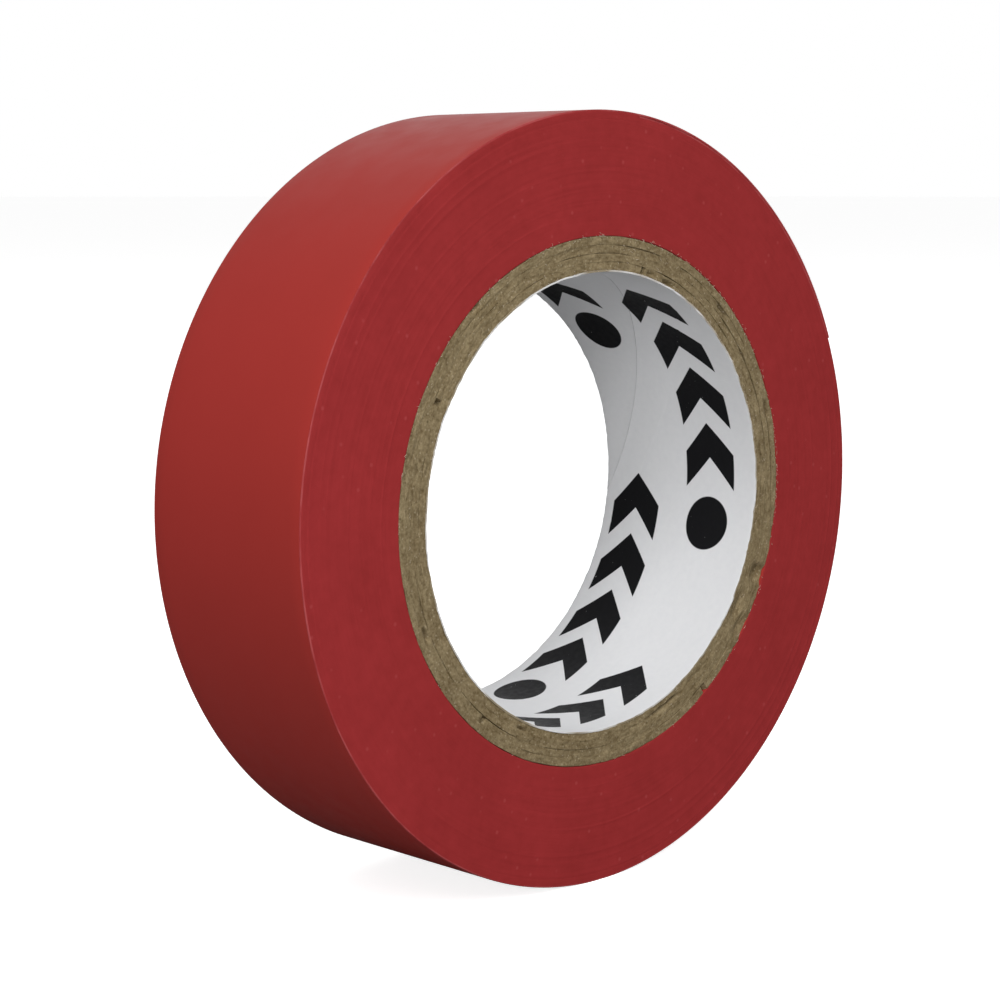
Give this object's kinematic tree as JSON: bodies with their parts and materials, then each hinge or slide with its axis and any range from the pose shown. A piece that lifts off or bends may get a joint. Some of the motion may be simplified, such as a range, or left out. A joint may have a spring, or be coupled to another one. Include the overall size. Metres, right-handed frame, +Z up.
{
  "type": "electrical tape roll",
  "caption": "Roll of red vinyl electrical tape on a printed card core, with a free tail that peels off the rim.",
  "frame": {"origin": "on the ground under the middle of the roll, which stands on its rim", "axes": "+Y along the roll's axis, from the front face to the back face; +Z up; the free tail lies on the +X side"},
  "size_m": [0.065, 0.018, 0.0645],
  "materials": {
    "vinyl_tape": "satin",
    "kraft_card": "matte",
    "liner_paper": "matte"
  },
  "bodies": {
    "roll": {"core_liner": "liner_paper", "core_ply_inner": "kraft_card", "core_ply_second": "kraft_card", "core_ply_third": "kraft_card", "core_ply_outer": "kraft_card", "tape_winding": "vinyl_tape"},
    "tail_1": {"tape_tail_1": "vinyl_tape"},
    "tail_2": {"tape_tail_2": "vinyl_tape"},
    "tail_3": {"tape_tail_3": "vinyl_tape"},
    "tail_4": {"tape_tail_4": "vinyl_tape"},
    "tail_5": {"tape_tail_5": "vinyl_tape"},
    "tail_6": {"tape_tail_6": "vinyl_tape"}
  },
  "joints": [
    {"name": "tail_peel", "type": "hinge", "parent": "roll", "child": "tail_1", "pos_m": [0.00422, 0, 0.06425], "axis": [0, -1, 0], "range_deg": [0, 60]},
    {"name": "tail_uncurl_2", "type": "hinge", "parent": "tail_1", "child": "tail_2", "pos_m": [0.00973, 0, 0.06306], "axis": [0, -1, 0], "range_deg": [0, 9]},
    {"name": "tail_uncurl_3", "type": "hinge", "parent": "tail_2", "child": "tail_3", "pos_m": [0.01496, 0, 0.06094], "axis": [0, -1, 0], "range_deg": [0, 9]},
    {"name": "tail_uncurl_4", "type": "hinge", "parent": "tail_3", "child": "tail_4", "pos_m": [0.01975, 0, 0.05794], "axis": [0, -1, 0], "range_deg": [0, 9]},
    {"name": "tail_uncurl_5", "type": "hinge", "parent": "tail_4", "child": "tail_5", "pos_m": [0.02396, 0, 0.05416], "axis": [0, -1, 0], "range_deg": [0, 9]},
    {"name": "tail_uncurl_6", "type": "hinge", "parent": "tail_5", "child": "tail_6", "pos_m": [0.02746, 0, 0.0497], "axis": [0, -1, 0], "range_deg": [0, 9]}
  ],
  "couplings": [
    {"joint": "tail_uncurl_2", "follows": "tail_peel", "ratio": 0.15},
    {"joint": "tail_uncurl_3", "follows": "tail_peel", "ratio": 0.15},
    {"joint": "tail_uncurl_4", "follows": "tail_peel", "ratio": 0.15},
    {"joint": "tail_uncurl_5", "follows": "tail_peel", "ratio": 0.15},
    {"joint": "tail_uncurl_6", "follows": "tail_peel", "ratio": 0.15}
  ]
}
